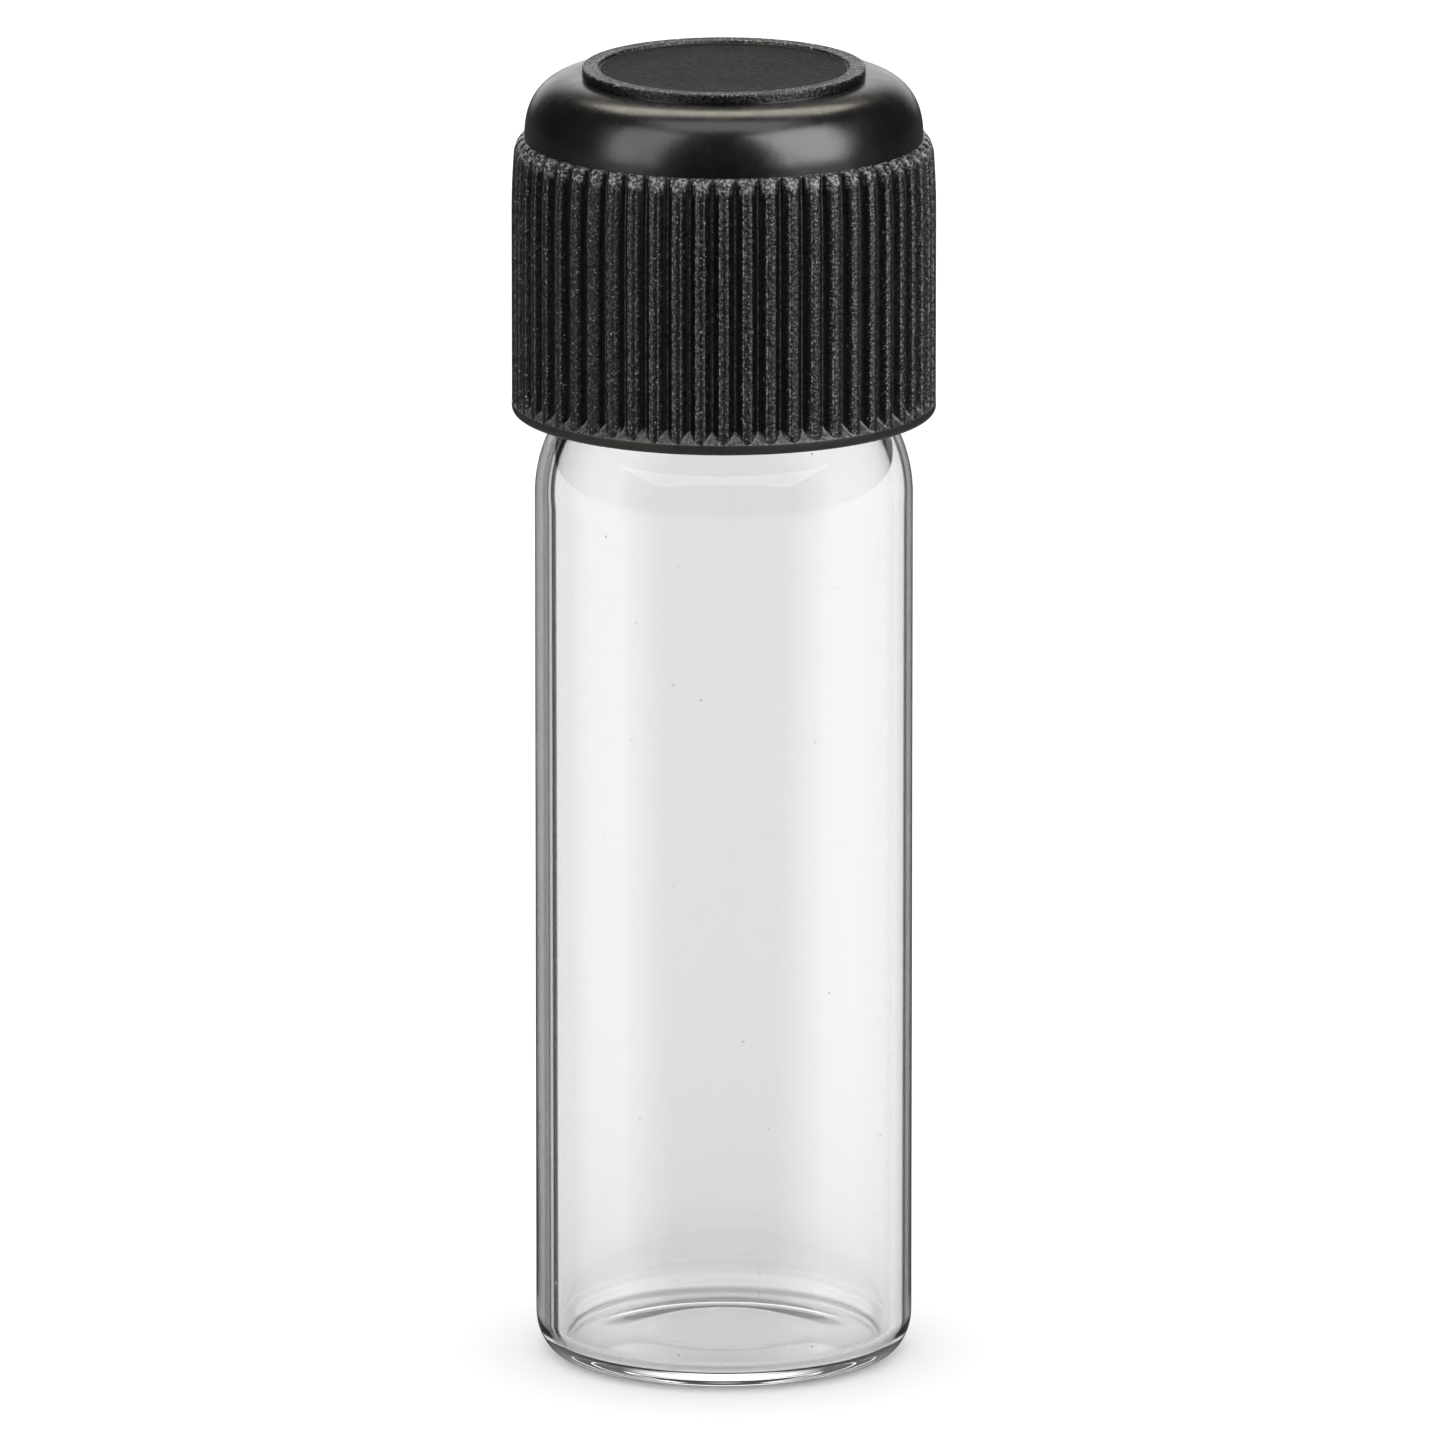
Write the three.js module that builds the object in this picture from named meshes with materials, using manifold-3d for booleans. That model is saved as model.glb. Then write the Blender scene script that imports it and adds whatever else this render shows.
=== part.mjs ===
// A glass sample vial with a ribbed screw cap, the kind that holds panned gold.
// It has four pieces: the glass vial, the cap, and the two layers of the liner inside the cap.
// Millimetres, +Z up, with the origin in the middle of the base. The cap is screwed home.

import * as THREE from 'three';
import { mergeVertices } from 'three/addons/utils/BufferGeometryUtils.js';
import Module from 'manifold-3d';

const wasm = await Module();
wasm.setup();

// Glass body: a drawn tube with a rounded heel and a slightly pushed-up base.
const GLASS_RADIUS = 8.25;
const GLASS_WALL = 0.85;
const BASE_THICKNESS = 0.8;
const PUNT_RADIUS = 6.2;
const PUNT_TOP_RADIUS = 3.2;
const PUNT_HEIGHT = 0.22;
const FLOOR_RISE = 0.6;
const HEEL_WIDTH = 1.15;
const HEEL_HEIGHT = 1.75;
const INNER_HEEL_RADIUS = 0.8;

// Shoulder: a convex arc out of the body, then a concave arc into the neck.
const SHOULDER_BOTTOM = 38.5;
const SHOULDER_TOP = 43.9;
const SHOULDER_ARC = 6.3;

// Neck, in the sizes of a 15-425 screw finish.
const NECK_RADIUS = 6.5;
const MOUTH_RADIUS = 5.3;
const RIM_HEIGHT = 54;
const LIP_RADIUS = 0.35;

// Threads: rounded ridges on one right-hand helix of 12 turns to the inch.
const THREAD_PITCH = 25.4 / 12;
const THREAD_TURNS = 1.5;
const THREAD_RUN_OUT_TURNS = 0.12;
const THREAD_END_DEPTH = 0.03;
const GLASS_THREAD_TOP = RIM_HEIGHT - 1.5;
const GLASS_THREAD_RADIUS = 7.3;
const GLASS_RIDGE = 0.62;
const CAP_THREAD_RADIUS = 6.85;
const CAP_RIDGE = 0.55;

// Cap: a plain band, a ribbed skirt, a dome and a shallow dished disc on top.
const CAP_BOTTOM = 42.2;
const CAP_TOP = 57.5;
const CAP_RADIUS = 9.25;
const EDGE_RADIUS = 0.25;
const BAND_HEIGHT = 0.46;
const RUN_OUT_HEIGHT = 0.5;
const RIB_COUNT = 56;
const RIB_DEPTH = 0.42;
const RIB_RADIUS = CAP_RADIUS - 0.01;
const RIB_CREST_SHARE = 0.37;
const RIB_CREST_ROUNDING = 0.05;
const RIB_VALLEY_SHARE = 0.08;
const RIB_TAPER_HEIGHT = 3.35;
const RIB_TAPER = 0.1;
const RIB_END_HEIGHT = 0.7;
const RIB_END_SQUARENESS = 1.7;
const SKIRT_TOP = 54.35;
const SKIRT_TOP_RADIUS = 8.7;
const CORE_RADIUS = 8.6;
const DOME_RADIUS = 8.68;
const DOME_TOP = 57.08;
const DOME_SQUARENESS = 2.4;
const DISC_RADIUS = 6.16;
const DISC_RIM_WIDTH = 0.72;
const DISC_DISH = 0.13;
const DISC_EDGE = 0.08;

// Cap cavity, with the liner against its top.
const BORE_RADIUS = 7.5;
const BORE_MOUTH_RADIUS = 7.95;
const BORE_MOUTH_HEIGHT = 0.7;
const LINER_SEAT = 55.25;
const LINER_RADIUS = 7.2;
const BACKING_THICKNESS = 0.95;
const FACING_THICKNESS = 0.2;
const LAYER_GAP = 0.03;

// How far a cutting solid reaches past the face that it opens.
const CUT_PAST = 1;

// Mesh fineness.
const GLASS_SEGMENTS = 48;
const CAP_SEGMENTS = RIB_COUNT;
const ARC_STEPS = 4;
const LIP_STEPS = 2;
const DOME_STEPS = 6;
const PUNT_STEPS = 4;
const THREAD_STEPS_PER_TURN = 36;
const RIDGE_HALF_STEPS = 4;

/** Points along an elliptical arc in the radius-height plane, angles in degrees. */
function arc(centre, radii, startDegrees, endDegrees, steps = ARC_STEPS) {
  const points = [];
  for (let step = 0; step <= steps; step += 1) {
    const angle = THREE.MathUtils.degToRad(THREE.MathUtils.lerp(startDegrees, endDegrees, step / steps));
    points.push([centre[0] + radii[0] * Math.cos(angle), centre[1] + radii[1] * Math.sin(angle)]);
  }
  return points;
}

/** Points along a quarter of a superellipse, from its outermost point up to its highest. */
function squareArc(centre, radii, squareness, steps) {
  const power = 2 / squareness;
  return arc([0, 0], [1, 1], 0, 90, steps).map(([across, up]) => [
    centre[0] + radii[0] * Math.max(across, 0) ** power,
    centre[1] + radii[1] * Math.max(up, 0) ** power,
  ]);
}

/** Two tangent arcs that carry an upright wall inward from one radius to a smaller one. */
function shoulder(lower, upper, convexRadius) {
  const drop = lower[0] - upper[0];
  const rise = upper[1] - lower[1];
  const turn = 2 * Math.atan(drop / rise);
  const concaveRadius = rise / Math.sin(turn) - convexRadius;
  const turnDegrees = THREE.MathUtils.radToDeg(turn);
  const convex = arc([lower[0] - convexRadius, lower[1]], [convexRadius, convexRadius], 0, turnDegrees);
  const concave = arc([upper[0] + concaveRadius, upper[1]], [concaveRadius, concaveRadius],
    180 + turnDegrees, 180);
  return [...convex, ...concave.slice(1)];
}

/** A solid of revolution about Z from an outline that starts and ends on the axis. */
function turned(outline, segments) {
  const points = outline.map(([radius, height]) => new THREE.Vector2(radius, height));
  return new THREE.LatheGeometry(points, segments).rotateX(Math.PI / 2);
}

/** The centre line of a thread's ridge: a helix about Z whose ends sink into the wall. */
class ThreadPath extends THREE.Curve {
  constructor(radius, endRadius, bottom) {
    super();
    this.radius = radius;
    this.endRadius = endRadius;
    this.bottom = bottom;
  }

  getPoint(fraction, target = new THREE.Vector3()) {
    const turns = fraction * THREAD_TURNS;
    const fromEnd = Math.min(turns, THREAD_TURNS - turns);
    const risen = THREE.MathUtils.smoothstep(fromEnd, 0, THREAD_RUN_OUT_TURNS);
    const radius = THREE.MathUtils.lerp(this.endRadius, this.radius, risen);
    const angle = turns * 2 * Math.PI;
    const height = this.bottom + turns * THREAD_PITCH;
    return target.set(radius * Math.cos(angle), radius * Math.sin(angle), height);
  }
}

/** A round ridge swept along a thread path. */
function threadRidge(path, ridgeRadius) {
  const section = new THREE.Shape().absarc(0, 0, ridgeRadius, 0, 2 * Math.PI);
  return new THREE.ExtrudeGeometry(section, {
    extrudePath: path,
    steps: Math.round(THREAD_STEPS_PER_TURN * THREAD_TURNS),
    curveSegments: RIDGE_HALF_STEPS,
  });
}

/** The closed solid of a geometry, ready to be joined or cut. */
function toSolid(geometry) {
  geometry.deleteAttribute('normal');
  geometry.deleteAttribute('uv');
  const merged = mergeVertices(geometry);
  return new wasm.Manifold(new wasm.Mesh({
    numProp: 3,
    vertProperties: merged.attributes.position.array,
    triVerts: Uint32Array.from(merged.index.array),
  }));
}

/** The geometry of a solid that was joined or cut. */
function toGeometry(solid) {
  const { vertProperties, triVerts } = solid.getMesh();
  const geometry = new THREE.BufferGeometry();
  geometry.setAttribute('position', new THREE.BufferAttribute(vertProperties, 3));
  geometry.setIndex(new THREE.BufferAttribute(triVerts, 1));
  geometry.computeVertexNormals();
  return geometry;
}

/** The middle of the base, pushed up into a low round table inside the ring that the vial stands on. */
function puntOutline(rise, lift) {
  const points = [[0, PUNT_HEIGHT * rise + lift]];
  for (let step = 0; step <= PUNT_STEPS; step += 1) {
    const radius = THREE.MathUtils.lerp(PUNT_TOP_RADIUS, PUNT_RADIUS, step / PUNT_STEPS);
    const height = PUNT_HEIGHT * THREE.MathUtils.smoothstep(-radius, -PUNT_RADIUS, -PUNT_TOP_RADIUS);
    points.push([radius, height * rise + lift]);
  }
  return points;
}

/** The outside of the glass, filled in. */
function glassOutline() {
  return [
    ...puntOutline(1, 0),
    ...arc([GLASS_RADIUS - HEEL_WIDTH, HEEL_HEIGHT], [HEEL_WIDTH, HEEL_HEIGHT], -90, 0),
    ...shoulder([GLASS_RADIUS, SHOULDER_BOTTOM], [NECK_RADIUS, SHOULDER_TOP], SHOULDER_ARC),
    ...arc([NECK_RADIUS - LIP_RADIUS, RIM_HEIGHT - LIP_RADIUS], [LIP_RADIUS, LIP_RADIUS],
      0, 90, LIP_STEPS),
    [0, RIM_HEIGHT],
  ];
}

/** The hollow of the vial, from its floor up through the mouth. */
function glassHollowOutline() {
  const wallRadius = GLASS_RADIUS - GLASS_WALL;
  const innerShoulderArc = SHOULDER_ARC - GLASS_WALL;
  const aboveRim = RIM_HEIGHT + CUT_PAST;
  return [
    ...puntOutline(FLOOR_RISE, BASE_THICKNESS),
    ...arc([wallRadius - INNER_HEEL_RADIUS, BASE_THICKNESS + INNER_HEEL_RADIUS],
      [INNER_HEEL_RADIUS, INNER_HEEL_RADIUS], -90, 0),
    ...shoulder([wallRadius, SHOULDER_BOTTOM], [MOUTH_RADIUS, SHOULDER_TOP], innerShoulderArc),
    ...arc([MOUTH_RADIUS + LIP_RADIUS, RIM_HEIGHT - LIP_RADIUS], [LIP_RADIUS, LIP_RADIUS],
      180, 90, LIP_STEPS),
    [MOUTH_RADIUS + LIP_RADIUS, aboveRim],
    [0, aboveRim],
  ];
}

/** The vial: body, shoulder, threaded neck and open mouth, one piece of glass. */
function glassVial() {
  const threadBottom = GLASS_THREAD_TOP - THREAD_TURNS * THREAD_PITCH;
  const sunkRadius = NECK_RADIUS - GLASS_RIDGE - THREAD_END_DEPTH;
  const threadPath = new ThreadPath(GLASS_THREAD_RADIUS - GLASS_RIDGE, sunkRadius, threadBottom);
  const outside = toSolid(turned(glassOutline(), GLASS_SEGMENTS));
  const thread = toSolid(threadRidge(threadPath, GLASS_RIDGE));
  const hollow = toSolid(turned(glassHollowOutline(), GLASS_SEGMENTS));
  return toGeometry(outside.add(thread).subtract(hollow));
}

/** The cap without its ribs: plain band, run-out cone, skirt core, dome and dished disc. */
function capCoreOutline() {
  const bandTop = CAP_BOTTOM + BAND_HEIGHT;
  const dishRadius = DISC_RADIUS - DISC_RIM_WIDTH;
  const coneDrop = CAP_RADIUS - CORE_RADIUS;
  const coneHeight = RUN_OUT_HEIGHT * coneDrop / RIB_DEPTH;
  return [
    [0, CAP_BOTTOM],
    ...arc([CAP_RADIUS - EDGE_RADIUS, CAP_BOTTOM + EDGE_RADIUS], [EDGE_RADIUS, EDGE_RADIUS],
      -90, 0, LIP_STEPS),
    [CAP_RADIUS, bandTop],
    [CORE_RADIUS, bandTop + coneHeight],
    [CORE_RADIUS, SKIRT_TOP],
    ...squareArc([DISC_RADIUS, SKIRT_TOP], [DOME_RADIUS - DISC_RADIUS, DOME_TOP - SKIRT_TOP],
      DOME_SQUARENESS, DOME_STEPS),
    [DISC_RADIUS, CAP_TOP - DISC_EDGE],
    [DISC_RADIUS - DISC_EDGE, CAP_TOP],
    [dishRadius + DISC_DISH, CAP_TOP],
    [dishRadius, CAP_TOP - DISC_DISH],
    [0, CAP_TOP - DISC_DISH],
  ];
}

/** The envelope of the ribs: up the skirt, drawn in a little, then rounded over to the dome's foot. */
function ribEnvelopeOutline() {
  const insideBand = CAP_BOTTOM + BAND_HEIGHT / 2;
  const taperBottom = SKIRT_TOP - RIB_TAPER_HEIGHT;
  const ribsEnd = SKIRT_TOP - RIB_END_HEIGHT;
  const endWidth = RIB_RADIUS - RIB_TAPER - SKIRT_TOP_RADIUS;
  return [
    [0, insideBand],
    [RIB_RADIUS, insideBand],
    [RIB_RADIUS, taperBottom],
    ...squareArc([SKIRT_TOP_RADIUS, ribsEnd], [endWidth, RIB_END_HEIGHT], RIB_END_SQUARENESS, ARC_STEPS),
    [0, SKIRT_TOP],
  ];
}

/** A bar whose outline is a ring of ribs: rounded crests, straight flanks and narrow flat valleys. */
function ribbedBar() {
  const pitch = 2 * Math.PI / RIB_COUNT;
  const valleyEdge = 1 - RIB_VALLEY_SHARE;
  const ribCorners = [
    [-valleyEdge, RIB_DEPTH],
    [-RIB_CREST_SHARE, RIB_CREST_ROUNDING],
    [0, 0],
    [RIB_CREST_SHARE, RIB_CREST_ROUNDING],
    [valleyEdge, RIB_DEPTH],
  ];
  const outline = [];
  for (let rib = 0; rib < RIB_COUNT; rib += 1) {
    for (const [across, drop] of ribCorners) {
      const angle = (rib + across / 2) * pitch;
      const radius = RIB_RADIUS - drop;
      outline.push(new THREE.Vector2(radius * Math.cos(angle), radius * Math.sin(angle)));
    }
  }
  const height = SKIRT_TOP - CAP_BOTTOM;
  const section = new THREE.Shape(outline);
  const bar = new THREE.ExtrudeGeometry(section, { depth: height, bevelEnabled: false });
  return bar.translate(0, 0, CAP_BOTTOM);
}

/** The hollow of the cap: a flared mouth, then a plain bore up to the liner seat. */
function capHollowOutline() {
  const belowCap = CAP_BOTTOM - CUT_PAST;
  return [
    [0, belowCap],
    [BORE_MOUTH_RADIUS, belowCap],
    [BORE_MOUTH_RADIUS, CAP_BOTTOM],
    [BORE_RADIUS, CAP_BOTTOM + BORE_MOUTH_HEIGHT],
    [BORE_RADIUS, LINER_SEAT],
    [0, LINER_SEAT],
  ];
}

/** The cap: one moulding with its ribs outside and its thread inside. */
function screwCap() {
  // The cap's ridge runs half a pitch below the one on the glass, so it fills the gap between turns.
  const threadBottom = GLASS_THREAD_TOP - (THREAD_TURNS + 0.5) * THREAD_PITCH;
  const sunkRadius = BORE_RADIUS + CAP_RIDGE + THREAD_END_DEPTH;
  const threadPath = new ThreadPath(CAP_THREAD_RADIUS + CAP_RIDGE, sunkRadius, threadBottom);
  const core = toSolid(turned(capCoreOutline(), CAP_SEGMENTS));
  const envelope = toSolid(turned(ribEnvelopeOutline(), CAP_SEGMENTS));
  const ribs = toSolid(ribbedBar()).intersect(envelope);
  const hollow = toSolid(turned(capHollowOutline(), GLASS_SEGMENTS));
  const thread = toSolid(threadRidge(threadPath, CAP_RIDGE));
  return toGeometry(core.add(ribs).subtract(hollow).add(thread));
}

/** One flat round layer of the liner. */
function linerLayer(bottom, thickness) {
  const outline = [[0, bottom], [LINER_RADIUS, bottom], [LINER_RADIUS, bottom + thickness],
    [0, bottom + thickness]];
  return turned(outline, GLASS_SEGMENTS);
}

/** The springy layer that lies against the top of the cap. */
function linerBacking() {
  return linerLayer(LINER_SEAT - LAYER_GAP - BACKING_THICKNESS, BACKING_THICKNESS);
}

/** The thin film that seals on the rim of the glass. */
function linerFacing() {
  return linerLayer(RIM_HEIGHT + LAYER_GAP, FACING_THICKNESS);
}

function namedMesh(name, geometry, colour, roughness) {
  const material = new THREE.MeshStandardMaterial({ color: colour, roughness, metalness: 0 });
  const mesh = new THREE.Mesh(geometry, material);
  mesh.name = name;
  return mesh;
}

const vial = new THREE.Group();
vial.add(namedMesh('glass_vial', glassVial(), 0xe4eaea, 0.05));
vial.add(namedMesh('screw_cap', screwCap(), 0x17181a, 0.45));
vial.add(namedMesh('liner_backing', linerBacking(), 0xd9d6cc, 0.9));
vial.add(namedMesh('liner_facing', linerFacing(), 0xf2f1ec, 0.4));

export default vial;
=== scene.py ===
"""Looks of a gold sample vial: clear glass, a black ribbed screw cap and the liner inside it.

Lengths are metres in the frame of the CAD: +Z up, origin in the middle of the base.
"""

import math

import bmesh
import bpy
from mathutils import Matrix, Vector


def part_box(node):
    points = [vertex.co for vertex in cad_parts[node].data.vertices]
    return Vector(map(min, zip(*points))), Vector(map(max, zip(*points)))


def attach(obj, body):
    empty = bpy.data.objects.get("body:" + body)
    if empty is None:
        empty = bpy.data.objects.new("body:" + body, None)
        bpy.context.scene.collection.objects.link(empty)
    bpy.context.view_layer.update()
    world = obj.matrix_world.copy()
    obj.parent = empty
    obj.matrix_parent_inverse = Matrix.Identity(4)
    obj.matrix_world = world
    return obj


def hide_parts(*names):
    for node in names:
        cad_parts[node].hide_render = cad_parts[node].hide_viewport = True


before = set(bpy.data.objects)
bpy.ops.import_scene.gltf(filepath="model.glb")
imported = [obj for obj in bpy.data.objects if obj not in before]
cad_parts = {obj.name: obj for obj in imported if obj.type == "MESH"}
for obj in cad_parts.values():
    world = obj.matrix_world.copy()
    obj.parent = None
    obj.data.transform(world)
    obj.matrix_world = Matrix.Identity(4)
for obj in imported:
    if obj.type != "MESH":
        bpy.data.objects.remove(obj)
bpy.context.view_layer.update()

MM = 0.001
TURN = 2 * math.pi

# Sizes that the frame gives.
glass_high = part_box("glass_vial")[1]
cap_low, cap_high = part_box("screw_cap")
GLASS_RADIUS = glass_high.x
RIM_HEIGHT = glass_high.z
CAP_RADIUS = cap_high.x
CAP_BOTTOM = cap_low.z
CAP_TOP = cap_high.z

# Glass.
GLASS_WALL = 0.85 * MM
BASE_THICKNESS = 0.8 * MM
PUNT_RADIUS = 6.2 * MM
PUNT_TOP_RADIUS = 3.2 * MM
PUNT_HEIGHT = 0.22 * MM
INNER_PUNT_SHARE = 0.6
HEEL_WIDTH = 1.15 * MM
HEEL_HEIGHT = 1.75 * MM
INNER_HEEL_RADIUS = 0.8 * MM
SHOULDER_BOTTOM = 38.5 * MM
SHOULDER_TOP = 43.9 * MM
SHOULDER_ARC = 6.3 * MM
NECK_RADIUS = 6.5 * MM
MOUTH_RADIUS = 5.3 * MM
LIP_RADIUS = 0.35 * MM
LIP_BOTTOM = RIM_HEIGHT - LIP_RADIUS

# Threads, on one right-hand helix.
THREAD_PITCH = 25.4 / 12 * MM
THREAD_TURNS = 1.5
THREAD_RUN_OUT_TURNS = 0.12
GLASS_THREAD_TOP = RIM_HEIGHT - 1.5 * MM
GLASS_THREAD_RADIUS = 7.3 * MM
GLASS_RIDGE = 0.62 * MM
CAP_THREAD_RADIUS = 6.85 * MM
CAP_RIDGE = 0.55 * MM

# Cap: the plain band at the bottom, and the ribbed skirt.
EDGE_RADIUS = 0.25 * MM
BAND_TOP = CAP_BOTTOM + 0.46 * MM
RUN_OUT_HEIGHT = 0.5 * MM
RIB_COUNT = 56
RIB_DEPTH = 0.42 * MM
RIB_RADIUS = CAP_RADIUS - 0.01 * MM
RIB_CREST_SHARE = 0.37
RIB_VALLEY_SHARE = 0.08
RIB_CREST_ROUNDING = 0.05 * MM
RIB_TAPER_HEIGHT = 3.35 * MM
RIB_TAPER = 0.1 * MM
RIB_END_HEIGHT = 0.7 * MM
RIB_END_SQUARENESS = 1.7
SKIRT_TOP = 54.35 * MM
SKIRT_TOP_RADIUS = 8.7 * MM
RIBS_END = SKIRT_TOP - RIB_END_HEIGHT

# Cap: the dome, and the dished disc with its rim.
DOME_RADIUS = 8.68 * MM
DOME_TOP = 57.08 * MM
DOME_SQUARENESS = 2.4
DISC_RADIUS = 6.16 * MM
RIM_WIDTH = 0.72 * MM
RIM_FOOT_HEIGHT = 0.04 * MM
RIM_EDGE = 0.08 * MM
RIM_FLAT_WIDTH = 0.3 * MM
RIM_FLAT_DROP = 0.05 * MM
RIM_ROLL_WIDTH = 0.12 * MM
RIM_ROLL_HEIGHT = 0.1 * MM
DISC_DISH = 0.13 * MM
DISC_FILLET = 0.08 * MM
FILLET_MIDDLE_WIDTH = 0.03 * MM
FILLET_MIDDLE_HEIGHT = 0.005 * MM

# Cap: the bore.
BORE_RADIUS = 7.5 * MM
BORE_CHAMFER = 0.1 * MM
BORE_MOUTH_RADIUS = 7.95 * MM
BORE_MOUTH_TOP = CAP_BOTTOM + 0.7 * MM
BORE_MOUTH_EDGE = 0.05 * MM
LINER_SEAT = 55.25 * MM

# Mesh fineness. RIB_STEPS are places across a rib: 0 is the middle of its crest, and 1 and -1 the valleys.
GLASS_SEGMENTS = 224
LINER_SEGMENTS = 128
RIB_STEPS = (-0.92, -0.66, -0.42, -0.37, -0.3, -0.15, 0, 0.15, 0.3, 0.37, 0.42, 0.66, 0.92)
THREAD_ROW = 0.07 * MM
BAND_ROW = 0.1 * MM
RUN_OUT_ROW = 0.03 * MM
RUN_OUT_MARGIN = 0.1 * MM
RIB_ROW = 0.6 * MM
BASE_STEPS = 14
HEEL_STEPS = 16
INNER_HEEL_STEPS = 12
SHOULDER_STEPS = 14
LIP_STEPS = 8
DOME_STEPS = 24
RIB_END_STEPS = 16
EDGE_STEPS = 6
SMALL_EDGE_STEPS = 5
LINER_EDGE_STEPS = 4
SHARP_ANGLE = math.radians(62)
SAME_PLACE = 1e-6

# Colours of the cap's plastic, and of the highlights painted on it.
SKIRT_DARK = (0.001, 0.001, 0.001)
SKIRT_LIGHT = (0.003, 0.003, 0.003)
# Painted highlight: the pale colour of glints on the rib crests and on the rim's top edge.
PAINTED_GLINT_COLOUR = (0.2, 0.2, 0.19)
# Painted highlight: the pale colour of the lines along the ribs' edges and of their lit tips.
PAINTED_HIGHLIGHT_COLOUR = (0.22, 0.22, 0.215)
# Painted light: the pale colour of the up-facing facets at the ribs' feet.
PAINTED_LIT_FOOT_COLOUR = (0.07, 0.07, 0.067)
COLOUR_PATCH = 1.6 * MM
PLASTIC_IOR = 1.5

# Painted highlight lines on a rib, along its crest edges where light catches them: (place from one crest at
# 0 to the next at 1, how bright).
PAINTED_HIGHLIGHT_LINES = [
    (0.14, 0), (0.175, 0.35), (0.21, 0), (0.46, 0), (0.5, 0.3), (0.54, 0),
    (0.78, 0), (0.82, 1), (0.86, 0.1), (0.93, 0.35), (1, 0),
]
# Painted lit tips of the ribs: (place from one crest at 0 to the next at 1, how bright).
PAINTED_LIT_TIPS = [(0.3, 1), (0.38, 0), (0.62, 0), (0.7, 1)]

# Clearness of the glass by how it is seen: (0 square on to 1 edge on, grey). Square on it is a plain grey
# tint; towards the edges the ramps are painted shade, the dark lines that a thick wall shows near its
# edges. The painted lines aren't the same on its left and right.
GLASS_IOR = 1.5
MIDDLE_TINT = [(0, 0.71), (0.07, 0.72)]
LEFT_PAINTED_EDGE_SHADE = MIDDLE_TINT + [
    (0.18, 0.97), (0.3, 0.86), (0.43, 0.64), (0.54, 0.6), (0.555, 0.02), (0.59, 0), (0.61, 0.3),
    (0.635, 0), (0.655, 0.08), (0.7, 0.06), (0.74, 0.2), (0.93, 0.18), (1, 0.1),
]
RIGHT_PAINTED_EDGE_SHADE = MIDDLE_TINT + [
    (0.18, 1), (0.3, 0.92), (0.43, 0.8), (0.5, 0.74), (0.6, 0.62), (0.69, 0.52), (0.705, 0.05),
    (0.735, 0), (0.76, 0.1), (0.8, 0.17), (0.87, 0.1), (0.95, 0.03), (1, 0),
]
# Painted light: the glass is clearer near the base, lightening it against the shade under the vial.
CLEAR_BASE_PAINTED_LIGHT = (0.98, 0.98, 0.98)
CLEAR_WALL = (0.88, 0.88, 0.88)
WAVE_LENGTH = 6 * MM
WAVE_DEPTH = 0.004 * MM
DUST_SPACING = 1.6 * MM
DUST_RADIUS = 0.07 * MM
DUST_COLOUR = (0.3, 0.3, 0.29)

# Studio. The gap under the base keeps the glass and the floor from sharing a face.
WHITE = (1, 1, 1)
WARM_WHITE = (1, 0.93, 0.82)
FLOOR_SIZE = 8
FLOOR_GAP = 0.02 * MM
FLOOR_GREY = (0.62, 0.62, 0.62)
FLOOR_GLOW = 0.12
# Painted light: a brighter glow on the floor under the vial.
PAINTED_LIGHT_UNDER_VIAL = 0.4

# Camera: far off with a long lens, a little above the vial.
CAMERA_DISTANCE = 61.1 * 2 * GLASS_RADIUS
CAMERA_ELEVATION = math.radians(13.5)
CAMERA_TARGET = Vector((-0.06 * MM, 0, 3.4146 * GLASS_RADIUS))
CAMERA_LENS = 574.4
CAMERA_SENSOR = 36


# ---------------------------------------------------------------- outlines


def lerp(start, end, amount):
    return start + (end - start) * amount


def clamped(amount):
    return min(max(amount, 0), 1)


def smoothstep(amount):
    amount = clamped(amount)
    return amount * amount * (3 - 2 * amount)


def arc(centre, radii, start, end, steps):
    """Points along an elliptical arc in the radius-height plane, angles in degrees."""
    points = []
    for step in range(steps + 1):
        angle = math.radians(lerp(start, end, step / steps))
        points.append((centre[0] + radii[0] * math.cos(angle), centre[1] + radii[1] * math.sin(angle)))
    return points


def round_arc(centre, radius, start, end, steps):
    """Points along a circular arc in the radius-height plane, angles in degrees."""
    return arc(centre, (radius, radius), start, end, steps)


def square_arc(centre, radii, squareness, steps):
    """Points along a quarter of a superellipse, from its outermost point up to its highest."""
    power = 2 / squareness
    return [
        (centre[0] + radii[0] * max(across, 0) ** power, centre[1] + radii[1] * max(up, 0) ** power)
        for across, up in round_arc((0, 0), 1, 0, 90, steps)
    ]


def shoulder(lower, upper, convex_radius):
    """Two tangent arcs that carry an upright wall inward from one radius to a smaller one."""
    rise = upper[1] - lower[1]
    turn = 2 * math.atan((lower[0] - upper[0]) / rise)
    concave_radius = rise / math.sin(turn) - convex_radius
    degrees = math.degrees(turn)
    convex_centre = (lower[0] - convex_radius, lower[1])
    concave_centre = (upper[0] + concave_radius, upper[1])
    convex = round_arc(convex_centre, convex_radius, 0, degrees, SHOULDER_STEPS)
    concave = round_arc(concave_centre, concave_radius, 180 + degrees, 180, SHOULDER_STEPS)
    return convex + concave[1:]


def upright(radius, bottom, top, row):
    """Points up a straight wall, about one row height apart, without its two ends."""
    rows = max(round((top - bottom) / row), 1)
    return [(radius, lerp(bottom, top, step / rows)) for step in range(1, rows)]


# ---------------------------------------------------------------- meshes


def even_angles(count):
    return [TURN * step / count for step in range(count)]


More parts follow.
